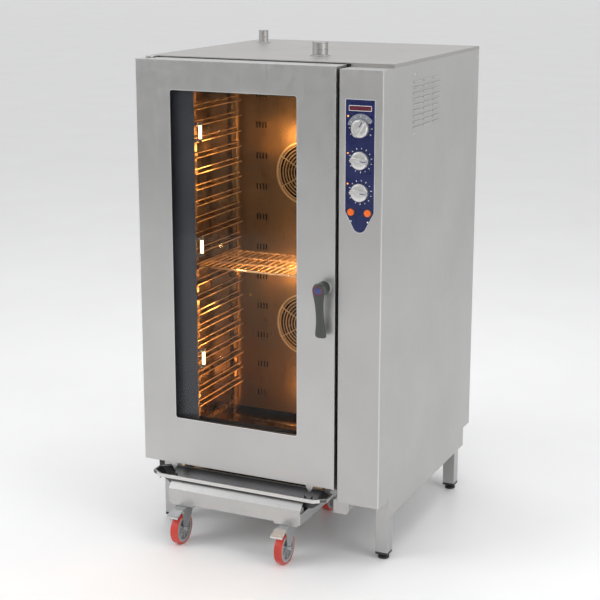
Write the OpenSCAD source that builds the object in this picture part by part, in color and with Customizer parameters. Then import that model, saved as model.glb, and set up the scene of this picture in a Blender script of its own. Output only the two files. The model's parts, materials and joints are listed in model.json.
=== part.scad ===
// Roll-in combi steamer oven with its rack trolley parked in the cooking chamber.
// Millimetres, +Z up. Modules are drawn from the door's front left corner on the floor: X to the right,
// Y into the oven, Z above the floor. place() then moves them so that the origin is the centre of the base.

/* [Cabinet] */
// Width across both side panels
body_w = 1010; // [1006:1:1014]
// Rear panel, measured from the door's front face
body_back = 1082; // [1070:1:1100]
// Front plane of the cabinet body, behind the door
body_front = 107; // [107:1:108]
// Top face of the top cover
body_top = 1904; // [1904:1:1910]
// Thickness of the outer sheet
sheet = 2; // [1.5:0.5:2]
// Size of the square leg tube
leg_size = 50; // [46:1:50]

/* [Door] */
// Width of the door
door_w = 828; // [826:1:830]
// Thickness of the door
door_t = 97; // [95:1:97]
// Bottom edge of the door above the floor
door_bottom = 298; // [298:1:300]
// Top edge of the door above the floor
door_top = 1898; // [1896:1:1898]
// Left edge of the window
window_left = 146; // [140:1:150]
// Width of the window
window_w = 527; // [520:1:530]
// Bottom edge of the window above the floor
window_bottom = 490; // [480:1:500]
// Height of the window
window_h = 1296; // [1280:1:1300]
// Height of the handle's spindle above the floor
handle_z = 1086; // [1070:1:1100]

/* [Cooking chamber] */
// Number of rack levels
levels = 20; // [16:1:20]
// Height from one rack level to the next
level_pitch = 63; // [60:0.5:64]
// Radius of the fan guards' outer ring
guard_r = 131; // [120:1:135]
// Height of the lower fan's axis
fan_low_z = 743; // [735:1:750]
// Height of the upper fan's axis
fan_high_z = 1393; // [1385:1:1400]

/* [Controls] */
// Diameter of each rotary knob
knob_d = 65; // [55:1:66]
// Diameter of each push button
button_d = 25; // [20:0.5:25]
// Travel of a push button
button_travel = 3; // [2:0.5:3]

/* [Trolley] */
// Diameter of each castor wheel
wheel_d = 125; // [120:1:125]
// Width of the trolley's front apron
apron_w = 575; // [570:1:580]

/* [Hidden] */
$fn = 48;
eps = 1;                      // overshoot of a cut past the face it opens
fit = 0.05;                   // radial running clearance of a shaft in its hole

// reach of the brake pedals, the rear drain stub and the louvres past the body
front_reach = 150;
rear_reach = 40;
louvre_h = 6;

// heights
column_bottom = 250;
side_bottom = 172;
notch_y = 1004;               // the side panels step up behind this line
floor_z = 252;                // underside of the cabinet floor
body_z = 1890;                // underside of the top cover
leg_bottom = 28;

// legs, by their front left corners
leg_places = [[26, body_front], [body_w - sheet - leg_size, body_front],
              [26, 897], [body_w - sheet - leg_size, 897]];

// control column
column_x = 842;
column_w = body_w - sheet - column_x;
panel_x = 922.5;              // middle of the control overlay
panel_w = 115;
panel_top = 1786;
panel_taper = 1379;           // the overlay narrows below this height
knob_x = 925;
knob_zs = [1683, 1568, 1452];
button_xs = [890, 955];
button_z = 1378;
lamp_x = 876;
lamp_zs = [1725, 1592, 1481];

// cooking chamber, inside faces
cav_x = [96, 764];
cav_z = [318, 1816];
cav_y = [body_front + sheet, 770];
baffle_y = 638;
fan_x = 420;
fan_zs = [fan_low_z, fan_high_z];
fan_r = 112;
drain_at = [600, 600];
drain_z = 286;
vent_at = [98, 900];
stack_at = [606, 360];
vent_r = 20;
stack_r = 30;
pipe_top = 1956;

// door
hinge_at = [22, 72];
hinge_r = 8;
skin_d = 60;                  // depth of the door's outer skin, the inner frame fills the rest
handle_x = 785;
spindle_r = 8;
lamp_zs_door = [732, 1180, 1625];

// trolley
trolley_x = 430;              // middle of the trolley
apron_y = -66;
apron_z = [157, 215, 242];    // bottom, fold and top of the apron
castor_dx = 226;
rear_castor_dx = 170;
swivel_y = -38;
castor_trail = 40;
rear_castor_y = 480;
wheel_r = wheel_d / 2;
tread = 6.5;
axle_r = 6;
kingpin_r = 8;
fork_top = 148;
trough_z = [206, 254, 264];   // bottom, underside of the rim and top of the rim
rack_z = [345, 1785];
first_level = 501;
rack_web = 164;               // inside face of the left rail's web
shelf_level = 9;

module place() {
    translate([-(body_w + louvre_h) / 2, -(body_back + rear_reach + front_reach) / 2 + front_reach, 0])
        children();
}

// ---- profiles and helpers ----

module rrect(size, r) {
    translate([r, 0]) square([size.x - 2 * r, size.y]);
    translate([0, r]) square([size.x, size.y - 2 * r]);
    for (x = [r, size.x - r], y = [r, size.y - r]) translate([x, y]) circle(r);
}

// a flat plate standing in the XZ plane, t thick behind y
module upright(x, y, z, size, t, r) {
    translate([x, y + t, z]) rotate([90, 0, 0]) linear_extrude(t) {
        if (r > 0) rrect(size, r);
        else square(size);
    }
}

// a round bar along Y from y0 to y1
module bar_y(x, z, y0, y1, r) {
    translate([x, y0, z]) rotate([-90, 0, 0]) cylinder(r = r, h = y1 - y0);
}

// a round bar along X from x0 to x1
module bar_x(y, z, x0, x1, r) {
    translate([x0, y, z]) rotate([0, 90, 0]) cylinder(r = r, h = x1 - x0);
}

// extrudes a profile drawn in Y and Z along X
module along_x(x, length) {
    translate([x, 0, 0]) rotate([90, 0, 90]) linear_extrude(length) children();
}

module mirror_trolley() {
    translate([2 * trolley_x, 0, 0]) mirror([1, 0, 0]) children();
}

// ---- cabinet ----

module rail(x, y, size) {
    difference() {
        translate([x, y, floor_z - size.z]) cube(size);
        if (size.y > size.x)
            translate([x + 3, y - eps, floor_z - size.z - eps]) cube([size.x - 6, size.y + 2 * eps, size.z - 2]);
        else
            translate([x - eps, y + 3, floor_z - size.z - eps]) cube([size.x + 2 * eps, size.y - 6, size.z - 2]);
    }
}

// bent plate under the column that centres the trolley as it rolls in
module dock_guide() {
    x0 = 812;
    w = 64;
    y0 = 34;
    z0 = 191;
    translate([x0, y0 + 3, z0]) rotate([90, 0, 0]) linear_extrude(3) {
        translate([0, 16]) square([w, 40]);
        square([w - 16, 17]);
        translate([w - 16, 16]) circle(16);
    }
    translate([x0, y0, z0 + 6]) cube([3, 36, 50]);
    translate([x0 + w - 3, y0, z0 + 16]) cube([3, 112, 43]);
    translate([x0 + w - 3, body_front, z0 + 50]) cube([3, 39, floor_z - z0 - 49]);
}

module base_frame() place() color("silver") {
    leg_h = floor_z - leg_bottom;
    for (p = leg_places) translate([p.x, p.y, leg_bottom]) difference() {
        cube([leg_size, leg_size, leg_h]);
        translate([3, 3, -eps]) cube([leg_size - 6, leg_size - 6, leg_h - 2]);
    }
    for (p = [leg_places[0], leg_places[1]])
        rail(p.x, p.y + leg_size, [leg_size, leg_places[2].y - p.y - leg_size, 50]);
    rail(leg_places[2].x + leg_size, leg_places[2].y,
         [leg_places[1].x - leg_places[2].x - leg_size, leg_size, 50]);
    translate([sheet, body_front, floor_z]) cube([body_w - 2 * sheet, body_back - body_front - sheet, sheet]);
    dock_guide();
}

module levelling_foot(p) {
    plug = leg_size - 6;
    translate([p.x, p.y, 0]) {
        difference() {
            union() {
                translate([0, 0, 18]) cube([leg_size, leg_size, leg_bottom - 18]);
                translate([3, 3, leg_bottom - eps]) cube([plug, plug, 20]);
            }
            translate([leg_size / 2, leg_size / 2, 0]) cylinder(r = 6 + fit, h = 80);
        }
        translate([leg_size / 2, leg_size / 2, 0]) {
            cylinder(r = 22, h = 8);
            translate([0, 0, 8]) cylinder(r1 = 18, r2 = 10, h = 6);
            cylinder(r = 6, h = 70);
        }
    }
}

module levelling_feet() place() color("dimgray") for (p = leg_places) levelling_foot(p);

// stamped air louvre: a quarter round hood, open below, closed at its ends
module louvre(y, z, length) {
    translate([body_w, y + length, z]) rotate([90, 0, 0]) {
        linear_extrude(length) difference() {
            intersection() { circle(louvre_h); square(louvre_h); }
            circle(louvre_h - 1.5);
        }
        for (end = [0, length - 1.5]) translate([0, 0, end]) linear_extrude(1.5)
            intersection() { circle(louvre_h); square(louvre_h); }
    }
}

module side_profile(front) {
    polygon([[front, front < body_front ? column_bottom : side_bottom],
             [body_front, front < body_front ? column_bottom : side_bottom],
             [body_front, side_bottom], [notch_y, side_bottom], [notch_y, floor_z],
             [body_back, floor_z], [body_back, body_z], [front, body_z]]);
}

module side_panel_right() place() color("silver") {
    louvre_l = 82;
    rows = [for (i = [0:8]) 1651 + i * 21.25];
    columns = [300, 405, 510];
    difference() {
        along_x(body_w - sheet, sheet) side_profile(0);
        for (y = columns, z = rows)
            translate([body_w - sheet - eps, y + 3, z]) cube([sheet + 2 * eps, louvre_l - 6, louvre_h - 2]);
    }
    for (y = columns, z = rows) louvre(y, z, louvre_l);
}

module side_panel_left() place() color("silver")
    along_x(0, sheet)
        polygon([[body_front, side_bottom], [notch_y, side_bottom], [notch_y, floor_z],
                 [body_back, floor_z], [body_back, body_z], [body_front, body_z]]);

connector_z = 340;
inlet_xs = [830, 890];
inlet_r = 13.2;
gland_x = 770;
gland_r = 12;

module rear_panel() place() color("silver") difference() {
    upright(sheet, body_back - sheet, floor_z, [body_w - 2 * sheet, body_z - floor_z], sheet, 0);
    for (x = inlet_xs) bar_y(x, connector_z, body_back - 10, body_back + 10, inlet_r);
    bar_y(gland_x, connector_z, body_back - 10, body_back + 10, gland_r);
    bar_y(drain_at.x, drain_z, body_back - 10, body_back + 10, vent_r);
    for (x = [300:12:540], z = [1560, 1640, 1720])
        translate([x, body_back - sheet - eps, z]) cube([5, sheet + 2 * eps, 50]);
}

module top_cover() place() color("silver") difference() {
    translate([0, body_front, body_z]) cube([body_w, body_back - body_front, body_top - body_z]);
    translate([sheet, body_front + sheet, body_z - eps])
        cube([body_w - 2 * sheet, body_back - body_front - 2 * sheet, body_top - body_z - sheet + eps]);
    translate([vent_at.x, vent_at.y, body_z]) cylinder(r = vent_r, h = 30);
    translate([stack_at.x, stack_at.y, body_z]) cylinder(r = stack_r, h = 30);
}

module front_frame() place() color("gainsboro") difference() {
    upright(sheet, body_front, floor_z + sheet, [column_x - sheet, body_z - floor_z - sheet], sheet, 0);
    upright(cav_x[0], body_front - eps, cav_z[0],
            [cav_x[1] - cav_x[0], cav_z[1] - cav_z[0]], sheet + 2 * eps, 12);
}

// the bottom run lies on the trolley's sealing plate
module door_gasket() place() color("black") {
    w = 10;
    face = door_t + 0.2;
    for (x = [cav_x[0] - w - 1, cav_x[1] + 1])
        translate([x, face, cav_z[0] - 18]) cube([w, body_front - face, cav_z[1] - cav_z[0] + 19]);
    translate([cav_x[0] - w - 1, face, cav_z[1] + 1])
        cube([cav_x[1] - cav_x[0] + 2 * w + 2, body_front - face, w]);
    translate([120, face, 302]) cube([620, 103 - face, 12]);
}

// ---- cooking chamber ----

coil_r = 150;
coil_tube = 5;
coil_lead = 4;                // radius of the straight leads through the back wall
coil_angles = [50, 70];
coil_ys = [662, 682, 702];
shaft_r = 8;
steam_z = 520;
steam_at = [890, 430];
steam_pipe_r = 12;

module coil_terminals(z, r, y0, y1) {
    for (a = coil_angles) bar_y(fan_x + coil_r * cos(a), z + coil_r * sin(a), y0, y1, r);
}

module cavity_liner() place() color("gainsboro") difference() {
    translate([cav_x[0] - sheet, cav_y[0], cav_z[0] - sheet])
        cube([cav_x[1] - cav_x[0] + 2 * sheet, cav_y[1] - cav_y[0] + sheet, cav_z[1] - cav_z[0] + 2 * sheet]);
    translate([cav_x[0], cav_y[0] - eps, cav_z[0]])
        cube([cav_x[1] - cav_x[0], cav_y[1] - cav_y[0] + eps, cav_z[1] - cav_z[0]]);
    for (z = fan_zs) {
        bar_y(fan_x, z, cav_y[1] - eps, cav_y[1] + 10, shaft_r + 2);
        coil_terminals(z, coil_lead, cav_y[1] - eps, cav_y[1] + 10);
    }
    translate([drain_at.x, drain_at.y, cav_z[0] - 10]) cylinder(r = vent_r, h = 20);
    translate([stack_at.x, stack_at.y, cav_z[1] - 5]) cylinder(r = stack_r, h = 20);
    bar_x(steam_at.y, steam_z, cav_x[1] - 5, cav_x[1] + 5, steam_pipe_r);
}

module insulation() place() color("khaki") {
    wool = 30;
    x0 = cav_x[0] - sheet;
    x1 = cav_x[1] + sheet;
    y0 = cav_y[0] + 1;
    y1 = cav_y[1] + sheet;
    z0 = cav_z[0];
    z1 = cav_z[1] + sheet;
    difference() {
        translate([x0 - wool, y0, z0]) cube([x1 - x0 + 2 * wool, y1 - y0 + wool, z1 - z0 + wool]);
        translate([x0, y0 - eps, z0 - eps]) cube([x1 - x0, y1 - y0 + eps, z1 - z0 + eps]);
        for (z = fan_zs) {
            bar_y(fan_x, z, y1 - eps, y1 + wool + eps, 78);
            coil_terminals(z, coil_lead + 3, y1 - eps, y1 + wool + eps);
        }
        translate([stack_at.x, stack_at.y, z1 - 5]) cylinder(r = stack_r, h = wool + 10);
        bar_x(steam_at.y, steam_z, x1 - 5, x1 + wool + 5, steam_pipe_r);
    }
}

module fan_baffle() place() color("gray") {
    difference() {
        upright(cav_x[0], baffle_y, cav_z[0] + 22,
                [cav_x[1] - cav_x[0], cav_z[1] - cav_z[0] - 34], sheet, 0);
        for (z = fan_zs) bar_y(fan_x, z, baffle_y - eps, baffle_y + 5, guard_r - 9);
        for (z = [400:130:1700], x = [190:14:232])
            translate([x, baffle_y - eps, z]) cube([6, 5, 26]);
        for (z = [400:130:1700], x = [608:14:650])
            translate([x, baffle_y - eps, z]) cube([6, 5, 26]);
    }
}

module ring_bar(r, tube) {
    rotate([90, 0, 0]) rotate_extrude() translate([r, 0]) circle(tube);
}

module fan_guards() place() color("silver") for (z = fan_zs) translate([fan_x, baffle_y - 3, z]) {
    rotate([90, 0, 0]) rotate_extrude() for (r = [guard_r : -13 : 25]) {
        w = r == guard_r ? 6 : 3.2;
        translate([r - w / 2, -w / 2]) square([w, w]);
    }
    for (a = [0:60:120]) rotate([0, a, 0]) translate([-2, -1, -guard_r + 1]) cube([4, 3, 2 * guard_r - 2]);
}

module heating_coils() place() color("dimgray") for (z = fan_zs) {
    for (y = coil_ys) translate([fan_x, y, z]) ring_bar(coil_r, coil_tube);
    coil_terminals(z, coil_lead, coil_ys[0], cav_y[1] + 30);
}

module fan_motors() place() color("slategray") for (z = fan_zs) difference() {
    union() {
        bar_y(fan_x, z, cav_y[1] + sheet, cav_y[1] + 8, 76);
        bar_y(fan_x, z, cav_y[1] + 8, 890, 68);
        bar_y(fan_x, z, 890, 900, 60);
    }
    bar_y(fan_x, z, cav_y[1], 860, shaft_r + fit);
}

module steam_generator() place() color("silver") {
    translate([steam_at.x, steam_at.y, 310]) cylinder(r = 70, h = 240);
    translate([steam_at.x, steam_at.y, 550]) cylinder(r1 = 70, r2 = 30, h = 20);
    for (a = [45:90:315]) translate([steam_at.x + 55 * cos(a), steam_at.y + 55 * sin(a), floor_z + sheet])
        cylinder(r = 6, h = 60);
    bar_x(steam_at.y, steam_z, cav_x[1], steam_at.x, steam_pipe_r);
}

module drain_pipe() place() color("silver") difference() {
    union() {
        translate([drain_at.x, drain_at.y, drain_z]) cylinder(r = vent_r, h = cav_z[0] - drain_z);
        translate([drain_at.x, drain_at.y, drain_z]) sphere(r = vent_r);
        bar_y(drain_at.x, drain_z, drain_at.y, body_back + rear_reach, vent_r);
        bar_x(vent_at.y, drain_z, vent_at.x, drain_at.x, vent_r - 2);
        translate([vent_at.x, vent_at.y, drain_z]) sphere(r = vent_r - 2);
        translate([vent_at.x, vent_at.y, drain_z]) cylinder(r = vent_r - 2, h = 34);
    }
    translate([drain_at.x, drain_at.y, drain_z]) cylinder(r = vent_r - 3, h = cav_z[0]);
    bar_y(drain_at.x, drain_z, drain_at.y, body_back + rear_reach + eps, vent_r - 3);
}

module vent_pipe(p, r, z0) {
    translate([p.x, p.y, z0]) difference() {
        cylinder(r = r, h = pipe_top - z0);
        translate([0, 0, -eps]) cylinder(r = r - 2, h = pipe_top - z0 + 2 * eps);
    }
}

module vent_pipes() place() color("silver") {
    vent_pipe(vent_at, vent_r, drain_z + 20);
    vent_pipe(stack_at, stack_r, cav_z[1]);
}

module rear_connectors() place() color("goldenrod") {
    for (x = inlet_xs) {
        bar_y(x, connector_z, body_back - 40, body_back + 26, inlet_r);
        bar_y(x, connector_z, body_back, body_back + 8, inlet_r + 5, $fn = 6);
    }
    bar_y(gland_x, connector_z, body_back - 12, body_back + 22, gland_r);
    bar_y(gland_x, connector_z, body_back, body_back + 6, gland_r + 5, $fn = 6);
    bar_y(gland_x, connector_z, body_back + 22, body_back + 30, gland_r - 3);
}

// ---- controls ----

module control_column() place() color("silver") difference() {
    translate([column_x, 0, column_bottom]) cube([column_w, body_front, body_z - column_bottom]);
    translate([column_x + sheet, sheet, column_bottom + sheet])
        cube([column_w, body_front, body_z - column_bottom - 2 * sheet]);
    for (z = knob_zs) bar_y(knob_x, z, -eps, 5, 5);
    for (x = button_xs) bar_y(x, button_z, -eps, 5, button_d / 2 + 0.1);
    for (z = lamp_zs) bar_y(lamp_x, z, -eps, 5, 3);
}

module control_overlay() place() color("midnightblue") difference() {
    translate([0, 0, 0]) rotate([90, 0, 0]) linear_extrude(1) {
        translate([panel_x - panel_w / 2, panel_taper]) square([panel_w, panel_top - panel_taper]);
        hull() {
            translate([panel_x - panel_w / 2, panel_taper]) square([panel_w, 1]);
            translate([panel_x, 1330]) circle(28);
        }
    }
    for (z = knob_zs) bar_y(knob_x, z, -5, 5, 5);
    for (x = button_xs) bar_y(x, button_z, -5, 5, button_d / 2 + 0.1);
    for (z = lamp_zs) bar_y(lamp_x, z, -5, 5, 3);
}

module panel_switches() place() color("dimgray") {
    plate_y = 42;
    translate([852, plate_y, 1340]) cube([146, 3, 400]);
    for (x = [860, 990], z = [1350, 1730]) bar_y(x, z, sheet, plate_y + 1, 4);
    for (z = knob_zs) difference() {
        union() {
            bar_y(knob_x, z, sheet, 10, 10);
            bar_y(knob_x, z, 10, plate_y + 1, 21);
        }
        bar_y(knob_x, z, 0, 26, 3 + fit);
    }
    for (x = button_xs) difference() {
        bar_y(x, button_z, 13, plate_y + 1, 14);
        bar_y(x, button_z, 10, 36, 5 + fit);
    }
}

module indicator_lights() place() color("orange")
    for (z = lamp_zs) {
        bar_y(lamp_x, z, -2, 12, 3);
        translate([lamp_x, -2, z]) sphere(r = 3);
    }

module electrical_board() place() color("darkgray") {
    plate_x = 990;
    translate([plate_x, 180, 700]) cube([4, 500, 1000]);
    for (y = [200, 660], z = [720, 1680]) bar_x(y, z, plate_x, body_w - sheet, 6);
    for (y = [220:90:580], z = [780, 960]) translate([plate_x - 70, y, z]) cube([71, 60, 110]);
    for (z = [1150, 1300, 1450]) translate([plate_x - 40, 230, z]) cube([41, 380, 80]);
}

// a knob on its shaft: a skirt disc and a grip bar across it, turned to its pointer's angle
module knob(z, angle) {
    r = knob_d / 2;
    translate([knob_x, 0, z]) rotate([0, angle, 0]) translate([-knob_x, 0, -z]) {
        bar_y(knob_x, z, -16, -2, r);
        translate([knob_x, -27, z]) rotate([-90, 0, 0]) intersection() {
            cylinder(r = r - 1, h = 12);
            translate([-8, -r, 0]) cube([16, 2 * r, 12]);
        }
        bar_y(knob_x, z, -3, 22, 3);
    }
}

module push_button(x) {
    bar_y(x, button_z, -7, 7, button_d / 2);
    bar_y(x, button_z, 6, 30, 5);
}

module selector_knob() place() color("silver") knob(knob_zs[0], 30);
module timer_knob() place() color("silver") knob(knob_zs[1], 95);
module thermostat_knob() place() color("silver") knob(knob_zs[2], 95);
module steam_button() place() color("orangered") push_button(button_xs[0]);
module light_button() place() color("orangered") push_button(button_xs[1]);

// ---- door ----

module hinge_bracket(z, pin_z, pin_h) {
    translate([hinge_at.x, hinge_at.y, z]) cylinder(r = 17, h = 5);
    translate([hinge_at.x - 17, hinge_at.y, z]) cube([34, body_front - hinge_at.y, 5]);
    translate([hinge_at.x, hinge_at.y, pin_z]) cylinder(r = hinge_r, h = pin_h);
}

module hinge_brackets() place() color("silver") {
    hinge_bracket(door_top + 1, door_top - 26, 28);
    hinge_bracket(door_bottom - 7, door_bottom - 3, 29);
}

module latch_strike() place() color("silver") difference() {
    upright(800, 103.5, handle_z - 28, [36, 56], 3.5, 4);
    for (z = [handle_z - 20, handle_z + 20]) bar_y(824, z, 103, 110, 2.5);
}

module window_cut(y0, y1, grow) {
    upright(window_left - grow, y0, window_bottom - grow,
            [window_w + 2 * grow, window_h + 2 * grow], y1 - y0, 10 + grow);
}

// pointed drip tab that leads water from the door's lower edge into the trough
module drip_tab(x) {
    w = 31;
    translate([x, sheet, 0]) rotate([90, 0, 0]) linear_extrude(sheet)
        polygon([[-w / 2, door_bottom + eps], [w / 2, door_bottom + eps], [w / 2, door_bottom - 6],
                 [0, door_bottom - 31], [-w / 2, door_bottom - 6]]);
}

module door_outer_skin() place() color("silver") {
    difference() {
        translate([0, 0, door_bottom]) cube([door_w, skin_d, door_top - door_bottom]);
        translate([sheet, sheet, door_bottom + sheet])
            cube([door_w - 2 * sheet, skin_d, door_top - door_bottom - 2 * sheet]);
        window_cut(-eps, 5, 0);
        bar_y(handle_x, handle_z, -eps, 5, spindle_r + fit);
    }
    difference() {
        window_cut(sheet - 0.5, 4, sheet);
        window_cut(0, 6, 0);
    }
    for (side = [-1, 1]) drip_tab(trolley_x + side * 296);
}

module hinge_bush(z, h) {
    translate([hinge_at.x, hinge_at.y, z]) cylinder(r = 11.5, h = h);
}

module door_inner_frame() place() color("gainsboro") difference() {
    union() {
        difference() {
            translate([0, skin_d, door_bottom]) cube([door_w, door_t - skin_d, door_top - door_bottom]);
            translate([sheet, skin_d - eps, door_bottom + sheet])
                cube([door_w - 2 * sheet, door_t - skin_d - sheet + eps, door_top - door_bottom - 2 * sheet]);
            window_cut(door_t - 5, door_t + eps, 20);
        }
        hinge_bush(door_bottom + 1, 34);
        hinge_bush(door_top - 35, 34);
    }
    for (z = [door_bottom - eps, door_top - 31])
        translate([hinge_at.x, hinge_at.y, z]) cylinder(r = hinge_r + fit, h = 32);
    bar_y(handle_x, handle_z, door_t - 5, door_t + 5, spindle_r + fit);
}

module outer_glass() place() color("lightblue", 0.3)
    upright(window_left - 8, 4, window_bottom - 8, [window_w + 16, window_h + 16], 5, 6);

module inner_glass() place() color("lightblue", 0.3)
    upright(window_left - 30, door_t - sheet - 5, window_bottom - 30, [window_w + 60, window_h + 60], 5, 6);

module lamp_column() place() color("darkslategray") {
    z0 = window_bottom - 8;
    h = window_h + 16;
    translate([130, 30, z0]) cube([102, 2, h]);
    translate([130, 31, z0]) cube([2, door_t - sheet - 5 - 31, h]);
}

module door_lamps() place() color("lemonchiffon") for (z = lamp_zs_door) {
    translate([243, 56, z - 32]) cylinder(r = 7, h = 64);
    for (end = [-38, 30]) translate([224, 32, z + end]) cube([27, 34, 8]);
}

module door_handle() place() color([0.16, 0.17, 0.16]) difference() {
    union() {
        bar_y(handle_x, handle_z, -58, -0.5, 24);
        hull($fn = 32) {
            bar_y(handle_x, handle_z, -60, -42, 25);
            bar_y(handle_x, handle_z - 150, -40, -26, 13);
        }
        hull($fn = 32) {
            bar_y(handle_x, handle_z - 140, -42, -28, 13);
            bar_y(handle_x, handle_z - 168, -38, -22, 19);
        }
    }
    bar_y(handle_x, handle_z, -30, 5, spindle_r);
}

module latch_spindle() place() color("silver") {
    bar_y(handle_x, handle_z, -30, 103, spindle_r);
    translate([handle_x, 99, handle_z - 6]) cube([32, 4, 12]);
}

// ---- fans ----

module fan_wheel(z) {
    blades = 24;
    translate([fan_x, 0, z]) rotate([-90, 0, 0]) {
        translate([0, 0, 712]) cylinder(r = fan_r, h = 3);
        translate([0, 0, 657]) difference() {
            cylinder(r = fan_r, h = 3);
            translate([0, 0, -eps]) cylinder(r = fan_r - 16, h = 5);
        }
        for (i = [0:blades - 1]) rotate([0, 0, i * 360 / blades])
            translate([fan_r - 32, -1, 659]) cube([30, 2, 54]);
        translate([0, 0, 690]) cylinder(r = 18, h = 40);
        translate([0, 0, 680]) cylinder(r = shaft_r, h = 175);
    }
}

module fan_wheel_upper() place() color("silver") fan_wheel(fan_high_z);
module fan_wheel_lower() place() color("silver") fan_wheel(fan_low_z);

// ---- trolley ----

module apron_profile() {
    lean = apron_z[2] - apron_z[1];
    polygon([[apron_y, apron_z[0]], [apron_y, apron_z[1]], [apron_y + lean, apron_z[2]],
             [apron_y + lean + 2, apron_z[2] - 1], [apron_y + 2, apron_z[1] - 1], [apron_y + 2, apron_z[0]]]);
}

module castor_top_plate(x, y) {
    translate([x - 50, y - 28, fork_top + 1]) cube([100, 70, apron_z[0] - fork_top - 1]);
}

module trolley_chassis() place() color("silver") {
    x0 = trolley_x - apron_w / 2;
    along_x(x0, apron_w) apron_profile();
    translate([x0, apron_y, apron_z[0]]) cube([apron_w, 110, 4]);
    translate([x0, rear_castor_y - 40, apron_z[0]]) cube([apron_w, 90, 4]);
    for (x = [x0, x0 + apron_w - 4]) along_x(x, 4)
        polygon([[apron_y + 1, apron_z[0]], [apron_y + 1, 200], [66, 200], [66, 285], [103, 285],
                 [103, 191], [rear_castor_y + 50, 191], [rear_castor_y + 50, apron_z[0]]]);
    for (x = [x0, x0 + apron_w - 30]) difference() {
        translate([x, 30, apron_z[0]]) cube([30, rear_castor_y + 20, 34]);
        translate([x + 3, 29, apron_z[0] + 3]) cube([24, rear_castor_y + 22, 28]);
    }
    for (side = [-1, 1]) {
        castor_top_plate(trolley_x + side * castor_dx, swivel_y);
        translate([trolley_x + side * castor_dx, swivel_y, 132]) cylinder(r = kingpin_r, h = 20);
    }
}

module trolley_seal_plate() place() color("silver")
    upright(trolley_x - 320, 103, 235, [640, 100], 3, 0);

module trough_plan(inset, x_inset) {
    x0 = 54 + inset + x_inset;
    x1 = 2 * trolley_x - x0;
    y0 = -50 + inset;
    y1 = 60 - inset;
    cx = 45;
    cy = 29;
    polygon([[x0 + cx, y0], [x1 - cx, y0], [x1, y0 + cy], [x1, y1 - cy],
             [x1 - cx, y1], [x0 + cx, y1], [x0, y1 - cy], [x0, y0 + cy]]);
}

module trough_body(wall) {
    hull() {
        translate([0, 0, trough_z[2] - 2.5]) linear_extrude(0.5) trough_plan(wall, 0);
        for (x = [130, 2 * trolley_x - 130]) translate([x, 5, trough_z[0] + 28])
            sphere(r = 28 - wall, $fn = 32);
    }
}

// long octagonal gutter under the door, with two V-notched locating plates in it
module drip_trough() place() color("silver") {
    t = 2;
    difference() {
        union() {
            translate([0, 0, trough_z[1] - 2]) linear_extrude(trough_z[2] - trough_z[1] + 2) trough_plan(-3, 0);
            trough_body(0);
        }
        translate([0, 0, trough_z[2] - 2.5]) linear_extrude(30) trough_plan(t, 0);
        trough_body(t);
    }
    for (side = [-1, 1]) translate([trolley_x + side * 296, -8, 0]) rotate([90, 0, 0]) linear_extrude(t)
        polygon([[-17, 217], [-12, 213], [12, 213], [17, 217], [17, 262], [0, 240], [-17, 262]]);
}

// C-shaped runner: a web, a wide shelf and a short keeper above it
module rack_rail(z) {
    for (y = [128, 295, 462]) translate([rack_web - 2, y, z]) cube([2, 50, 18]);
    translate([rack_web - 1, 128, z]) cube([23, 384, 2]);
    translate([rack_web - 1, 128, z + 16]) cube([11, 384, 2]);
}

module rack_side() {
    post = 25;
    for (y = [150, 470]) translate([rack_web - 22, y, rack_z[0]]) cube([20.5, post, rack_z[1] - rack_z[0]]);
    for (z = [405, rack_z[1] - 20]) translate([rack_web - 22, 130, z]) cube([20.5, 380, 20]);
    for (i = [0:levels - 1]) rack_rail(first_level + i * level_pitch);
}

module rack_side_left() place() color("silver") rack_side();
module rack_side_right() place() color("silver") mirror_trolley() rack_side();

module rack_cross_frame() place() color("silver") {
    x0 = rack_web - 22;
    w = 2 * (trolley_x - x0);
    for (x = [x0, x0 + w - 22]) translate([x, 106, rack_z[0] - 20]) cube([22, 414, 20]);
    for (y = [150, 480]) translate([x0 + 22 - eps, y, rack_z[0] - 20]) cube([w - 44 + 2 * eps, 20, 20]);
    for (y = [150, 470]) translate([rack_web, y, rack_z[1] - 20])
        cube([2 * (trolley_x - rack_web), 25, 20]);
}

module wire_shelf() place() color("silver") {
    z = first_level + shelf_level * level_pitch + 2 + 4;
    x0 = rack_web + 4;
    x1 = 2 * trolley_x - x0;
    for (y = [160, 268, 376, 485]) bar_x(y, z, x0, x1, 4);
    for (x = [x0 + 4, x1 - 4]) bar_y(x, z, 160, 485, 4);
    for (i = [1:18]) bar_y(x0 + i * (x1 - x0) / 19, z + 1, 160, 485, 2.5);
}

// ---- castors: a fork drawn at x with its axle at y ----

module fork(x, y, crown_y) {
    gap = 17.5;
    for (side = [-1, 1]) translate([x + side * (gap + 1.5) - 1.5, 0, 0]) rotate([90, 0, 90]) linear_extrude(3)
        hull($fn = 32) {
            translate([y, wheel_r]) circle(12);
            translate([min(y, crown_y) - 20, fork_top - 9]) square([50 + abs(crown_y - y), 9]);
        }
    translate([x - gap - 3, min(y, crown_y) - 20, fork_top - 4])
        cube([2 * gap + 6, 50 + abs(crown_y - y), 4]);
    bar_x(y, wheel_r, x - gap - 8, x + gap + 8, axle_r);
}

module swivel_fork(side) {
    x = trolley_x + side * castor_dx;
    pedal_y = swivel_y - castor_trail - 14;
    difference() {
        union() {
            fork(x, swivel_y - castor_trail, swivel_y);
            translate([x, swivel_y, fork_top - 10]) cylinder(r = 20, h = 10);
            bar_x(pedal_y, 134, x - 22, x + 22, 3);
        }
        translate([x, swivel_y, 120]) cylinder(r = kingpin_r + fit, h = 40);
    }
}

module rear_castor_forks() place() color("silver") for (side = [-1, 1]) {
    x = trolley_x + side * rear_castor_dx;
    fork(x, rear_castor_y, rear_castor_y);
    translate([x - 45, rear_castor_y - 38, fork_top - eps]) cube([90, 76, apron_z[0] - fork_top + eps]);
}

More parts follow.
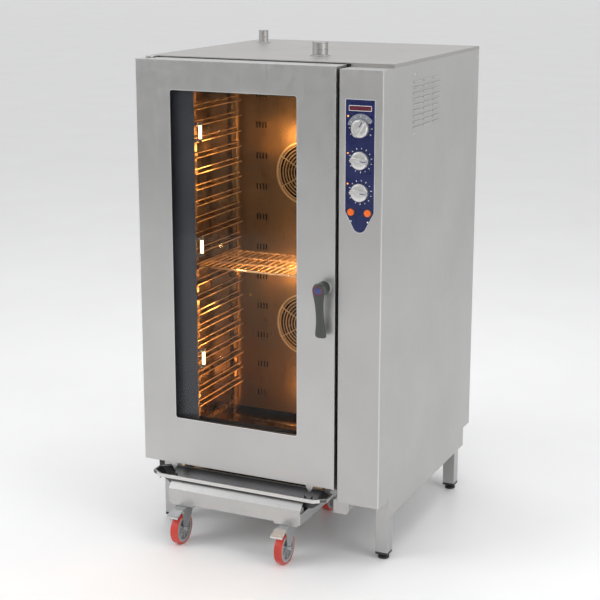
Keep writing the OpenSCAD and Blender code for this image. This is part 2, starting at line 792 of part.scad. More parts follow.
module brake_pedal(side) {
    x = trolley_x + side * castor_dx;
    y = swivel_y - castor_trail - 14;
    difference() {
        union() {
            bar_x(y, 134, x - 17, x + 17, 6);
            along_x(x - 17, 34) polygon([[y, 132], [y, 139], [-110, 146], [-114, 140]]);
            along_x(x - 25, 50) polygon([[-front_reach, 126], [-front_reach, 133], [-108, 149],
                                         [-108, 144], [-front_reach + 3, 129], [-front_reach + 3, 126]]);
        }
        bar_x(y, 134, x - 30, x + 30, 3 + fit);
    }
}

module wheel_hub(x, y) {
    w = 30;
    core_r = wheel_r - tread;
    translate([x, y, wheel_r]) rotate([0, 90, 0]) difference() {
        union() {
            difference() {
                cylinder(r = core_r, h = w, center = true, $fn = 96);
                for (side = [-1, 1]) translate([0, 0, side * w / 2]) difference() {
                    cylinder(r = core_r - 12, h = 20, center = true, $fn = 96);
                    cylinder(r = 15, h = 22, center = true);
                }
            }
            for (a = [0:60:300]) rotate([0, 0, a]) translate([10, -2, -w / 2 + 1]) cube([core_r - 18, 4, w - 2]);
            cylinder(r = 13, h = w + 3, center = true);
        }
        cylinder(r = axle_r + fit, h = w + 10, center = true);
    }
}

module tyre(x, y) {
    w = 32;
    round = 3;
    translate([x, y, wheel_r]) rotate([0, 90, 0]) rotate_extrude($fn = 96) {
        translate([wheel_r - tread, -w / 2]) square([tread - round, w]);
        translate([wheel_r - round - 0.5, -w / 2 + round]) square([round + 0.5, w - 2 * round]);
        for (s = [-1, 1]) translate([wheel_r - round, s * (w / 2 - round)]) circle(round);
    }
}

castor_left = trolley_x - castor_dx;
castor_right = trolley_x + castor_dx;
rear_left = trolley_x - rear_castor_dx;
rear_right = trolley_x + rear_castor_dx;
wheel_front_y = swivel_y - castor_trail;

module castor_fork_left() place() color("silver") swivel_fork(-1);
module castor_fork_right() place() color("silver") swivel_fork(1);
module brake_pedal_left() place() color("silver") brake_pedal(-1);
module brake_pedal_right() place() color("silver") brake_pedal(1);
module hub_front_left() place() color("gray") wheel_hub(castor_left, wheel_front_y);
module hub_front_right() place() color("gray") wheel_hub(castor_right, wheel_front_y);
module hub_rear_left() place() color("gray") wheel_hub(rear_left, rear_castor_y);
module hub_rear_right() place() color("gray") wheel_hub(rear_right, rear_castor_y);
module tyre_front_left() place() color("red") tyre(castor_left, wheel_front_y);
module tyre_front_right() place() color("red") tyre(castor_right, wheel_front_y);
module tyre_rear_left() place() color("red") tyre(rear_left, rear_castor_y);
module tyre_rear_right() place() color("red") tyre(rear_right, rear_castor_y);

base_frame();
levelling_feet();
side_panel_right();
side_panel_left();
rear_panel();
top_cover();
front_frame();
door_gasket();
cavity_liner();
insulation();
fan_baffle();
fan_guards();
heating_coils();
fan_motors();
steam_generator();
drain_pipe();
vent_pipes();
rear_connectors();
control_column();
control_overlay();
panel_switches();
indicator_lights();
electrical_board();
hinge_brackets();
latch_strike();
trolley_chassis();
trolley_seal_plate();
drip_trough();
rack_side_left();
rack_side_right();
rack_cross_frame();
wire_shelf();
rear_castor_forks();
door_outer_skin();
door_inner_frame();
outer_glass();
inner_glass();
lamp_column();
door_lamps();
door_handle();
latch_spindle();
fan_wheel_upper();
fan_wheel_lower();
selector_knob();
timer_knob();
thermostat_knob();
steam_button();
light_button();
castor_fork_left();
castor_fork_right();
brake_pedal_left();
brake_pedal_right();
hub_front_left();
hub_front_right();
hub_rear_left();
hub_rear_right();
tyre_front_left();
tyre_front_right();
tyre_rear_left();
tyre_rear_right();
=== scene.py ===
"""Looks of the roll-in combi steamer oven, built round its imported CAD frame."""
import json
import math

import bmesh
import bpy
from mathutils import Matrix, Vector


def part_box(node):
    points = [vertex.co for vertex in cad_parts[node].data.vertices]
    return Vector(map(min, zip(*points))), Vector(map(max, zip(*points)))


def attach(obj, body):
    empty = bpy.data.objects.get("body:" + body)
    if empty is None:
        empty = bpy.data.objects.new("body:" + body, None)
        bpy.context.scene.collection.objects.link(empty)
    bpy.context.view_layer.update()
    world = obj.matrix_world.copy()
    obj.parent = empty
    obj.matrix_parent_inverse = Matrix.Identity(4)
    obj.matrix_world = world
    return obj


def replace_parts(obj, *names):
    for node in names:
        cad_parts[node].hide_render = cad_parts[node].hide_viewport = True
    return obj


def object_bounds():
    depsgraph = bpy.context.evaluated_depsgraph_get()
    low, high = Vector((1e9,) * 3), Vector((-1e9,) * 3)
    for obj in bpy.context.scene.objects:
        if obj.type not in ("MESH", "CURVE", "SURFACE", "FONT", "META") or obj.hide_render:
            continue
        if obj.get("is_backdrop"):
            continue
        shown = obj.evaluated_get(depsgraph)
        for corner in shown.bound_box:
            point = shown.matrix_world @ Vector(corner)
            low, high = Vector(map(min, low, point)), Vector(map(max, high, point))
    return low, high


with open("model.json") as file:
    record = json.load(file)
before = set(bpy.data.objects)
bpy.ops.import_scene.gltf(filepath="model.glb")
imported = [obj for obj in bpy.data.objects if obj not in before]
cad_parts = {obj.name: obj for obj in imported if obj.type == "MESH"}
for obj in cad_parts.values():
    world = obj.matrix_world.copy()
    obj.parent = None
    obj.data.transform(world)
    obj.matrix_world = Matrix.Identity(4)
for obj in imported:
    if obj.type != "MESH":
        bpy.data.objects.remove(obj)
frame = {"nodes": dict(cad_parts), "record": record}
cad_low, cad_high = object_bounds()

# Drawing coordinates, in mm: X from the door's left edge, Y from its outer face, Z from the floor.
X_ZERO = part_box("side_panel_left")[0].x
Y_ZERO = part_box("control_column")[0].y
LAMP_HEIGHTS = (732, 1180, 1625)
LEVELS, FIRST_LEVEL, LEVEL_PITCH = 20, 501, 63
PANEL_KNEE = 1379.0
PANEL_TIP_Z, PANEL_TIP_R = 1330, 28
HANDLE_X = 785.0
FAN_X, FAN_WHEEL_RADIUS = 420, 112
LOUVRE_REACH = 6


def at(x, y, z):
    return Vector((X_ZERO + x / 1000, Y_ZERO + y / 1000, z / 1000))


# ---------------------------------------------------------------- materials


class Nodes:
    """A small wrapper that keeps material code short."""

    def __init__(self, name):
        self.mat = bpy.data.materials.new(name)
        self.mat.use_nodes = True
        self.tree = self.mat.node_tree
        self.tree.nodes.clear()
        self.out = self.tree.nodes.new("ShaderNodeOutputMaterial")

    def add(self, kind, **inputs):
        node = self.tree.nodes.new("ShaderNode" + kind)
        for key, value in inputs.items():
            key = key.replace("_", " ")
            if isinstance(value, bpy.types.NodeSocket):
                self.tree.links.new(value, node.inputs[key])
            else:
                node.inputs[key].default_value = value
        return node

    def link(self, a, b):
        self.tree.links.new(a, b)

    def coords(self, scale):
        tex = self.add("TexCoord")
        mapping = self.add("Mapping")
        mapping.inputs["Scale"].default_value = scale
        self.link(tex.outputs["Object"], mapping.inputs["Vector"])
        return mapping.outputs["Vector"]

    def noise(self, scale, stretch=(1, 1, 1), detail=4, rough=0.6):
        node = self.add("TexNoise", Scale=scale, Detail=detail, Roughness=rough)
        self.link(self.coords(stretch), node.inputs["Vector"])
        return node.outputs["Fac"]

    def remap(self, value, low, high, start=0.3, stop=0.7):
        node = self.add("MapRange")
        self.link(value, node.inputs["Value"])
        for key, number in (("From Min", start), ("From Max", stop), ("To Min", low), ("To Max", high)):
            node.inputs[key].default_value = number
        return node.outputs["Result"]

    def mix_color(self, factor, a, b):
        node = self.tree.nodes.new("ShaderNodeMix")
        node.data_type = "RGBA"
        for socket, value in ((node.inputs[0], factor), (node.inputs[6], a), (node.inputs[7], b)):
            if isinstance(value, bpy.types.NodeSocket):
                self.link(value, socket)
            else:
                socket.default_value = value
        return node.outputs[2]

    def bump(self, height, strength, distance, normal=None):
        node = self.add("Bump", Strength=strength, Distance=distance, Height=height)
        if normal is not None:
            self.link(normal, node.inputs["Normal"])
        return node.outputs["Normal"]

    def bevel(self, radius):
        node = self.add("Bevel", Radius=radius)
        node.samples = 4
        return node.outputs["Normal"]

    def finish(self, shader):
        self.link(shader.outputs[0], self.out.inputs["Surface"])
        return self.mat


def rgb(r, g, b):
    return (r, g, b, 1.0)


def steel(name, color, rough=0.3, grain="z", metal=1.0, bevel=0.0012, stain=0.06, depth=0.00002):
    """Brushed sheet: long scratches along the grain, faint cloudy handling marks, soft edges."""
    n = Nodes(name)
    stretch = {"x": (1.5, 220, 220), "y": (220, 1.5, 220), "z": (220, 220, 1.5)}[grain]
    scratch = n.noise(4, stretch, detail=5, rough=0.7)
    cloud = n.noise(2.2, (1, 1, 1), detail=3)
    fine = n.noise(38, (1, 1, 1), detail=3)
    dark = tuple(c * (1 - stain) for c in color[:3]) + (1,)
    light = tuple(min(1, c * (1 + stain)) for c in color[:3]) + (1,)
    tone = n.mix_color(n.remap(cloud, 0, 1), dark, light)
    tone = n.mix_color(n.remap(scratch, 0, 0.22), tone, light)
    shader = n.add("BsdfPrincipled", Metallic=metal)
    n.link(tone, shader.inputs["Base Color"])
    sum_rough = n.add("Math")
    sum_rough.operation = "ADD"
    n.link(n.remap(scratch, rough - 0.05, rough + 0.07), sum_rough.inputs[0])
    n.link(n.remap(fine, -0.02, 0.03), sum_rough.inputs[1])
    n.link(sum_rough.outputs[0], shader.inputs["Roughness"])
    base = n.bevel(bevel) if bevel else None
    n.link(n.bump(scratch, 0.25, depth, base), shader.inputs["Normal"])
    return n.finish(shader)


def plastic(name, color, rough=0.4, grain=60.0, strength=0.15, bevel=0.0008, coat=0.0, depth=0.0002):
    """Moulded plastic with a fine pebbled skin and slightly uneven gloss."""
    n = Nodes(name)
    pebble = n.noise(grain * 10, detail=2)
    cloud = n.noise(9, detail=3)
    tone = n.mix_color(n.remap(cloud, 0, 1), tuple(c * 0.88 for c in color[:3]) + (1,),
                       tuple(min(1, c * 1.1) for c in color[:3]) + (1,))
    shader = n.add("BsdfPrincipled")
    n.link(tone, shader.inputs["Base Color"])
    n.link(n.remap(cloud, rough - 0.05, rough + 0.08), shader.inputs["Roughness"])
    shader.inputs["Coat Weight"].default_value = coat
    base = n.bevel(bevel) if bevel else None
    n.link(n.bump(pebble, strength, depth, base), shader.inputs["Normal"])
    return n.finish(shader)


def glow(name, color, strength):
    """A lit lens or tube with a slightly uneven tone."""
    n = Nodes(name)
    haze = n.noise(60, detail=2)
    tone = n.mix_color(n.remap(haze, 0, 1), tuple(c * 0.9 for c in color[:3]) + (1,), color)
    shader = n.add("BsdfPrincipled", Roughness=0.3)
    n.link(tone, shader.inputs["Base Color"])
    n.link(tone, shader.inputs["Emission Color"])
    shader.inputs["Emission Strength"].default_value = strength
    return n.finish(shader)


def pane(name, tint, gloss):
    """Window glass: clear, with a mild mirror at grazing angles and faint cleaning marks."""
    n = Nodes(name)
    clear = n.add("BsdfTransparent", Color=tint)
    mirror = n.add("BsdfGlossy", Color=rgb(0.9, 0.93, 0.95), Roughness=0.03)
    smear = n.noise(5, (1, 1, 0.3), detail=4)
    n.link(n.remap(smear, 0.01, 0.07), mirror.inputs["Roughness"])
    facing = n.add("LayerWeight", Blend=0.25)
    fac = n.remap(facing.outputs["Fresnel"], gloss * 0.5, gloss * 3, 0.0, 1.0)
    mix = n.add("MixShader")
    n.link(fac, mix.inputs[0])
    n.link(clear.outputs[0], mix.inputs[1])
    n.link(mirror.outputs[0], mix.inputs[2])
    return n.finish(mix)


def wool(name):
    """Fibrous insulation."""
    n = Nodes(name)
    fibre = n.noise(30, (1, 6, 1), detail=6)
    tone = n.mix_color(n.remap(fibre, 0, 1), rgb(0.42, 0.35, 0.18), rgb(0.72, 0.64, 0.4))
    shader = n.add("BsdfPrincipled", Roughness=0.95)
    n.link(tone, shader.inputs["Base Color"])
    n.link(n.bump(fibre, 0.7, 0.003), shader.inputs["Normal"])
    return n.finish(shader)


def tyre_rubber(name):
    """Elastomer tread with darker scuffed patches of floor dirt and moulding flow marks."""
    n = Nodes(name)
    scuff = n.noise(45, detail=5)
    cloud = n.noise(14, detail=3)
    tone = n.mix_color(n.remap(cloud, 0, 1), rgb(0.42, 0.028, 0.02), rgb(0.62, 0.055, 0.035))
    tone = n.mix_color(n.remap(scuff, 0, 0.35, 0.55, 0.8), tone, rgb(0.2, 0.08, 0.07))
    shader = n.add("BsdfPrincipled")
    n.link(tone, shader.inputs["Base Color"])
    n.link(n.remap(scuff, 0.32, 0.5), shader.inputs["Roughness"])
    n.link(n.bump(scuff, 0.2, 0.0004, n.bevel(0.001)), shader.inputs["Normal"])
    return n.finish(shader)


CABINET = steel("cabinet_sheet", rgb(0.47, 0.468, 0.46), 0.38, "z", 0.86, 0.0028)
COVER = steel("cover_sheet", rgb(0.4, 0.392, 0.38), 0.42, "x", 0.86, 0.002)
DOOR = steel("door_sheet", rgb(0.5, 0.5, 0.495), 0.34, "z", 0.88, 0.0022)
FRAME = steel("frame_tube", rgb(0.46, 0.46, 0.455), 0.32, "z", 0.9, 0.0015)
TROLLEY = steel("trolley_sheet", rgb(0.5, 0.5, 0.495), 0.3, "x", 0.9, 0.002)
# dark warm brown on the chamber's steel walls: painted shade and painted warm light
LINER_WARM_SHADE = steel("liner_painted_warm_shade", rgb(0.16, 0.13, 0.105), 0.22, "z", 1.0, 0.0, 0.2, 0.000004)
# warm golden tone on the baffle's steel: painted warm light
BAFFLE_WARM_LIGHT = steel("baffle_painted_warm_light", rgb(0.38, 0.285, 0.19), 0.3, "z", 1.0, 0.0, 0.08, 0.000002)
# golden brown on the chamber floor's steel: a painted reflection of the warm-lit chamber
CHAMBER_FLOOR_REFLECTION = steel("chamber_floor_painted_reflection", rgb(0.55, 0.36, 0.18), 0.16, "x", 1.0, 0.0, 0.35, 0.0006)
# dark warm tone on the rack's steel: painted shade and painted warm light
RACK_WARM_SHADE = steel("rack_painted_warm_shade", rgb(0.26, 0.21, 0.165), 0.24, "y", 1.0, 0.0012, 0.2)
# bright warm tone on the rack and shelf wires: a painted highlight
WIRE_HIGHLIGHT = steel("rack_wire_painted_highlight", rgb(0.85, 0.7, 0.52), 0.26, "y", 1.0, 0.0, 0.14)
# pale golden tone on the fan guards' wires: a painted highlight in warm light
GUARD_HIGHLIGHT = steel("guard_wire_painted_highlight", rgb(0.95, 0.85, 0.66), 0.3, "x", 1.0, 0.0, 0.1)
ZINC = steel("zinc_plate", rgb(0.58, 0.59, 0.6), 0.34, "x", 1.0, 0.0012, 0.1)
FAN = steel("fan_sheet", rgb(0.12, 0.1, 0.08), 0.35, "y", 1.0, 0.0, 0.12)
COIL = steel("coil_sheath", rgb(0.12, 0.1, 0.09), 0.5, "y", 0.8, 0.0, 0.3)
KNOB = steel("knob_metal", rgb(0.72, 0.72, 0.705), 0.32, "x", 0.9, 0.001, 0.03, 0.000002)
# near black on the drip trough's steel: painted shade inside the trough
TROUGH_SHADE = steel("trough_painted_shade_sheet", rgb(0.1, 0.1, 0.103), 0.4, "x", 0.9, 0.001, 0.2)
# bright steel for the trough's rolled rim, and on the column's front edge a painted highlight
RIM_AND_HIGHLIGHT = steel("rim_and_painted_highlight_sheet", rgb(0.62, 0.62, 0.61), 0.3, "x", 0.9, 0.001)
SPINDLE = steel("spindle_steel", rgb(0.5, 0.5, 0.5), 0.25, "y", 1.0, 0.001)
BRASS = steel("brass_turned", rgb(0.7, 0.5, 0.22), 0.28, "x", 1.0, 0.0008)
HANDLE = plastic("handle_moulding", rgb(0.03, 0.036, 0.032), 0.3, 60, 0.1, 0.001, 0.25)
FOOT = plastic("foot_moulding", rgb(0.018, 0.018, 0.018), 0.5, 40, 0.3)
GASKET = plastic("gasket_rubber", rgb(0.012, 0.012, 0.012), 0.6, 50, 0.35, 0.0)
MOTOR = plastic("motor_paint", rgb(0.1, 0.12, 0.14), 0.45, 30, 0.2)
OVERLAY = plastic("overlay_film", rgb(0.006, 0.012, 0.078), 0.3, 80, 0.08, 0.0, 0.1)
SWITCH = plastic("switch_moulding", rgb(0.05, 0.05, 0.055), 0.5)
BOARD = plastic("board_paint", rgb(0.3, 0.31, 0.32), 0.5)
SHIELD = plastic("lamp_shield_paint", rgb(0.034, 0.036, 0.045), 0.34, 30, 0.1)
HUB = plastic("hub_moulding", rgb(0.3, 0.3, 0.3), 0.45, 40, 0.25)
BUTTON = plastic("button_moulding", rgb(0.88, 0.15, 0.015), 0.3, 60, 0.08, 0.0015, 0.4)
WHITE = plastic("white_print", rgb(0.75, 0.76, 0.78), 0.4, 60, 0.05, 0.0)
GREY = plastic("grey_print", rgb(0.24, 0.25, 0.29), 0.35, 60, 0.05, 0.0, 0.3)
NAVY = plastic("navy_inlay", rgb(0.02, 0.035, 0.16), 0.25, 60, 0.05, 0.0, 0.5)
DARK_RED = plastic("dark_red_inlay", rgb(0.12, 0.012, 0.03), 0.3, 60, 0.05, 0.0, 0.4)
# black for print, the window's seal line and the door gap strips, and painted shade on the band under the
# top cover and below the lower hinge
BLACK = plastic("black_print_and_painted_shade", rgb(0.008, 0.008, 0.009), 0.55, 40, 0.2, 0.0)
LAMP = glow("lamp_tube_glow", rgb(1.0, 0.8, 0.45), 3.2)
# bright orange steel on the baffle's side edges: a painted highlight
EDGE_HIGHLIGHT = steel("baffle_edge_painted_highlight", rgb(0.8, 0.62, 0.38), 0.2, "z", 1.0, 0.0, 0.2)
AMBER = glow("indicator_amber", rgb(1.0, 0.3, 0.04), 1.2)
GREEN = glow("indicator_green", rgb(0.1, 0.9, 0.2), 1.0)
GLASS = pane("window_glass_clear", rgb(0.95, 0.955, 0.95), 0.012)
INNER_GLASS = pane("inner_glass_clear", rgb(0.96, 0.94, 0.91), 0.008)
WOOL = wool("mineral_wool")
TYRE = tyre_rubber("red_tread")

SLOTS = {
    "cabinet_steel": CABINET, "frame_steel": FRAME, "liner_steel": LINER_WARM_SHADE, "door_steel": DOOR,
    "rack_steel": RACK_WARM_SHADE, "trolley_steel": TROLLEY, "guard_steel": GUARD_HIGHLIGHT, "fork_steel": ZINC,
    "foot_plastic": FOOT, "gasket_rubber": GASKET, "mineral_wool": WOOL, "coil_steel": COIL,
    "motor_paint": MOTOR, "brass_fitting": BRASS, "overlay_film": OVERLAY, "switch_plastic": SWITCH,
    "lamp_lens": AMBER, "board_steel": BOARD, "window_glass": GLASS, "inner_window_glass": INNER_GLASS,
    "lamp_shield": SHIELD, "lamp_tube": LAMP, "handle_plastic": HANDLE, "spindle_steel": SPINDLE,
    "knob_metal": KNOB, "button_plastic": BUTTON, "fan_steel": FAN, "hub_plastic": HUB, "tyre_red": TYRE,
}
NODE_MATERIALS = {
    "top_cover": COVER, "vent_pipes": COVER, "door_inner_frame": DOOR, "fan_baffle": BAFFLE_WARM_LIGHT,
    "drip_trough": TROUGH_SHADE, "trolley_seal_plate": CHAMBER_FLOOR_REFLECTION, "wire_shelf": WIRE_HIGHLIGHT,
}
slot_of = {part["node"]: part["material_slot"] for part in frame["record"]["subparts"]}
for name, slot in slot_of.items():
    node = frame["nodes"][name]
    material = NODE_MATERIALS.get(name, SLOTS[slot])
    if not node.material_slots:
        node.data.materials.append(material)
    for entry in node.material_slots:
        entry.material = material

# ---------------------------------------------------------------- mesh tools


def piece(name, bm, body, material, smooth=False, bevel=0.0, segments=2):
    """Turns bm into a named piece that rides on body. bevel is in mm."""
    mesh = bpy.data.meshes.new(name)
    bmesh.ops.recalc_face_normals(bm, faces=bm.faces)
    bm.to_mesh(mesh)
    bm.free()
    if smooth:
        for poly in mesh.polygons:
            poly.use_smooth = True
    obj = bpy.data.objects.new(name, mesh)
    bpy.context.scene.collection.objects.link(obj)
    obj.data.materials.append(material)
    if bevel:
        mod = obj.modifiers.new("edge", "BEVEL")
        mod.width = bevel / 1000
        mod.segments = segments
        mod.limit_method = "ANGLE"
        mod.angle_limit = math.radians(35)
    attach(obj, body)
    return obj


def skin_loops(bm, loops, closed=False):
    """Faces between each loop of vertices and the next."""
    pairs = list(zip(loops, loops[1:]))
    if closed:
        pairs.append((loops[-1], loops[0]))
    for a, b in pairs:
        for i in range(len(a)):
            j = (i + 1) % len(a)
            bm.faces.new((a[i], a[j], b[j], b[i]))


def tilted(cx, cz, angle, corners):
    """Corners given across and along a radius, turned clockwise from the top and moved to cx, cz."""
    s, c = math.sin(angle), math.cos(angle)
    return [(cx + u * c + v * s, cz - u * s + v * c) for u, v in corners]


def middle(low, high):
    """Centre of a box in X and Z."""
    return (low.x + high.x) / 2, (low.z + high.z) / 2


def add_box(bm, low, high):
    corners = [at(x, y, z) for x in (low[0], high[0]) for y in (low[1], high[1]) for z in (low[2], high[2])]
    v = [bm.verts.new(c) for c in corners]
    for face in ((0, 1, 3, 2), (4, 6, 7, 5), (0, 4, 5, 1), (2, 3, 7, 6), (0, 2, 6, 4), (1, 5, 7, 3)):
        bm.faces.new([v[i] for i in face])


def add_prism(bm, outline, y0, y1):
    """A flat shape in X and Z, given as its outline, from y0 to y1."""
    front = [bm.verts.new(at(x, y0, z)) for x, z in outline]
    back = [bm.verts.new(at(x, y1, z)) for x, z in outline]
    bm.faces.new(front)
    bm.faces.new(back[::-1])
    skin_loops(bm, [front, back])


def add_ring(bm, inner, outer, y0, y1):
    """A flat band between two outlines with the same number of points."""
    loops = [[bm.verts.new(at(x, y, z)) for x, z in line] for line, y in
             ((outer, y0), (inner, y0), (inner, y1), (outer, y1))]
    skin_loops(bm, loops, closed=True)


def add_lathe(bm, profile, centre, axis="y", steps=48):
    """Turns (radius, distance) pairs round an axis through centre."""
    rings = []
    for radius, along in profile:
        ring = []
        for i in range(steps):
            a = 2 * math.pi * i / steps
            u, w = radius * math.cos(a), radius * math.sin(a)
            offset = {"y": (u, along, w), "x": (along, u, w), "z": (u, w, along)}[axis]
            ring.append(bm.verts.new(at(*(c + o for c, o in zip(centre, offset)))))
        rings.append(ring)
    skin_loops(bm, rings)
    for ring in (rings[0], rings[-1]):
        bm.faces.new(ring)


def rounded(x0, z0, x1, z1, r, steps=6):
    """Outline of a rectangle with rounded corners."""
    points = []
    corners = ((x1 - r, z1 - r), (x0 + r, z1 - r), (x0 + r, z0 + r), (x1 - r, z0 + r))
    for k, (cx, cz) in enumerate(corners):
        for i in range(steps + 1):
            a = math.radians(90 * k + 90 * i / steps)
            points.append((cx + r * math.cos(a), cz + r * math.sin(a)))
    return points


def arc_band(cx, cz, r0, r1, start, stop, steps=32):
    """Outline of a band between two radii, angles clockwise from the top."""
    angles = [math.radians(start + (stop - start) * i / steps) for i in range(steps + 1)]
    outer = [(cx + r1 * math.sin(a), cz + r1 * math.cos(a)) for a in angles]
    inner = [(cx + r0 * math.sin(a), cz + r0 * math.cos(a)) for a in angles]
    return outer + inner[::-1]


def limits(node):
    """A node's box in drawing millimetres."""
    low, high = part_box(node)
    shift = Vector((X_ZERO, Y_ZERO, 0))
    return (low - shift) * 1000, (high - shift) * 1000


# ---------------------------------------------------------------- control panel

# each knob's body, its node and where its pointer stands, in degrees clockwise from the top
KNOBS = (
    ("selector", "selector_knob", 30), ("timer", "timer_knob", 95), ("thermostat", "thermostat_knob", 95),
)
MARK_RADIUS = 43
overlay_low, overlay_high = limits("control_overlay")
face = overlay_low.y
panel_mid = (overlay_low.x + overlay_high.x) / 2

bm = bmesh.new()
for body, node, _ in KNOBS:
    cx, cz = middle(*limits(node))
    last, step = (120, 30) if body == "selector" else (205, 25)
    for k, angle in enumerate(range(-120, last + 1, step)):
        a = math.radians(angle)
        x, z = cx + MARK_RADIUS * math.sin(a), cz + MARK_RADIUS * math.cos(a)
        if not overlay_low.x + 4 <= x <= overlay_high.x - 4:
            continue
        half, tall = 1.2, 3.0 if k % 2 == 0 else 2.0
        outline = tilted(x, z, a, ((-half, -tall), (half, -tall), (half, tall), (-half, tall)))
        add_prism(bm, outline, face - 0.3, face + 0.2)
piece("dial_marks", bm, "cabinet", WHITE)

knob_x, knob_z = middle(*limits("selector_knob"))
bm = bmesh.new()
add_prism(bm, arc_band(knob_x, knob_z, 33, 52, -78, 60), face - 0.15, face + 0.2)
piece("panel_sweep", bm, "cabinet", GREY)
bm = bmesh.new()
add_prism(bm, rounded(panel_mid - 44, 1744, panel_mid + 44, 1764, 3), face - 0.3, face + 0.2)
piece("panel_bar_frame", bm, "cabinet", WHITE)
bm = bmesh.new()
add_prism(bm, rounded(panel_mid - 42, 1746, panel_mid + 42, 1762, 2), face - 0.5, face + 0.1)
piece("panel_bar", bm, "cabinet", DARK_RED)

# light printed border of the overlay
top, left, right = overlay_high.z, overlay_low.x, overlay_high.x


def panel_outline(inset):
    points = [(right - inset, top - inset), (left + inset, top - inset), (left + inset, PANEL_KNEE)]
    r = PANEL_TIP_R - inset
    for i in range(13):
        a = math.radians(200 + 140 * i / 12)
        points.append((panel_mid + r * math.cos(a), PANEL_TIP_Z + r * math.sin(a)))
    points.append((right - inset, PANEL_KNEE))
    return points


bm = bmesh.new()
add_ring(bm, panel_outline(1.6), panel_outline(0.0), face - 0.25, face + 0.2)
piece("panel_border", bm, "cabinet", WHITE)

# marks under the buttons: two plain bars and a plain dot
bm = bmesh.new()
low, high = limits("steam_button")
cx = (low.x + high.x) / 2
for dz in (-20, -24):
    z0, z1 = dz + low.z, dz + low.z + 1.5
    add_prism(bm, [(cx - 4, z1), (cx + 4, z1), (cx + 4, z0), (cx - 4, z0)], face - 0.3, face + 0.2)
low, high = limits("light_button")
cx = (low.x + high.x) / 2
add_prism(bm, rounded(cx - 3, low.z - 24, cx + 3, low.z - 18, 2.9), face - 0.3, face + 0.2)
piece("button_icons", bm, "cabinet", WHITE)

# bezel rings round the buttons
bm = bmesh.new()
for node in ("steam_button", "light_button"):
    low, high = limits(node)
    cx, cz = middle(low, high)
    r = (high.x - low.x) / 2
    ring = [(0.4, 0.2), (2.6, 0.2), (2.6, -1.0), (1.8, -1.8), (0.4, -1.8), (0.4, 0.2)]
    add_lathe(bm, [(r + grow, y) for grow, y in ring], (cx, face, cz))
piece("button_rings", bm, "cabinet", SWITCH)

lens_x = middle(*limits("indicator_lights"))[0]
bm = bmesh.new()
green_z = 1725
add_lathe(bm, [(0.2, -3.3), (1.8, -3.0), (3.1, -1.6), (3.6, 0.2), (3.6, 2.0)], (lens_x, face + 1, green_z),
          steps=24)
piece("indicator_green_cap", bm, "cabinet", GREEN, smooth=True)

KNOB_RADIUS = 32.4
KNURLS = 48
BAR_STEPS = 12


def build_knob(body, node, pointer):
    """A domed cap, a knurled rim, a crowned finger bar and a painted pointer."""
    low, high = limits(node)
    (cx, cz), front = middle(low, high), low.y
    r = KNOB_RADIUS
    turn = math.radians(pointer)

    bm = bmesh.new()
    add_lathe(bm, [(0.5, front + 9.6), (20, front + 10.0), (27, front + 10.4), (r - 1.2, front + 11.4),
                   (r, front + 12.8), (r, front + 15)], (cx, 0, cz), steps=72)
    piece(f"{body}_cap", bm, body, KNOB, smooth=True)

    bm = bmesh.new()
    for i in range(KNURLS):
        a = 2 * math.pi * i / KNURLS
        x, z = cx + (r - 0.3) * math.sin(a), cz + (r - 0.3) * math.cos(a)
        outline = tilted(x, z, a, ((-0.9, -0.6), (0.9, -0.6), (0.5, 0.8), (-0.5, 0.8)))
        add_prism(bm, outline, front + 13, front + 24)
    piece(f"{body}_knurl", bm, body, KNOB)

    # finger bar: narrower and lower towards its ends
    bm = bmesh.new()
    rows = []
    for i in range(BAR_STEPS + 1):
        t = -1 + 2 * i / BAR_STEPS
        width = 8.6 - 1.4 * t * t
        crown = front - 0.4 + 2.8 * t * t
        section = ((-width, front + 11), (-width + 1, crown + 3), (-width + 3.2, crown + 0.6), (0, crown),
                   (width - 3.2, crown + 0.6), (width - 1, crown + 3), (width, front + 11))
        places = tilted(cx, cz, turn, [(x, t * (r - 1.5)) for x, _ in section])
        rows.append([bm.verts.new(at(px, y, pz)) for (px, pz), (_, y) in zip(places, section)])
    skin_loops(bm, rows)
    bm.faces.new(rows[0])
    bm.faces.new(rows[-1][::-1])
    piece(f"{body}_bar", bm, body, KNOB, smooth=True)

    bm = bmesh.new()
    tip = tilted(cx, cz, turn, ((-1.3, 8), (1.3, 8), (1.3, r - 3), (-1.3, r - 3)))
    add_prism(bm, tip, front - 0.9, front + 6)
    piece(f"{body}_pointer", bm, body, NAVY)


for knob in KNOBS:
    build_knob(*knob)

# ---------------------------------------------------------------- cabinet details


def screw(bm, centre, axis, sign=1):
    """Pan head with a sunk middle; sign says which way along the axis it faces."""
    profile = [(0.6, 1.2), (1.6, 1.2), (1.7, 2.1), (2.8, 2.0), (4, 0.9), (4, -0.4)]
    add_lathe(bm, [(r, sign * height) for r, height in profile], centre, axis, 20)


SIDE_SCREW_Y = 1060
SIDE_SCREW_HEIGHTS = (300, 1000, 1860)
outer_x = limits("side_panel_right")[1].x - LOUVRE_REACH
bm = bmesh.new()
for y in (313, 571):
    for z in (1630, 1851):
        screw(bm, (outer_x, y, z), "x")
for z in SIDE_SCREW_HEIGHTS:
    screw(bm, (outer_x, SIDE_SCREW_Y, z), "x")
piece("side_screws", bm, "cabinet", ZINC, smooth=True)

bm = bmesh.new()
for z in SIDE_SCREW_HEIGHTS:
    screw(bm, (0, SIDE_SCREW_Y, z), "x", -1)
piece("side_screws_left", bm, "cabinet", ZINC, smooth=True)

back_y = limits("rear_panel")[1].y
bm = bmesh.new()
for x in (30, 505, 980):
    for z in (290, 700, 1200, 1860):
        screw(bm, (x, back_y, z), "y")
piece("rear_screws", bm, "cabinet", ZINC, smooth=True)

# generic data plate, blank, on the rear panel
bm = bmesh.new()
add_prism(bm, rounded(640, 420, 740, 480, 4), back_y - 0.2, back_y + 0.6)
piece("rear_blank_plate", bm, "cabinet", GREY)

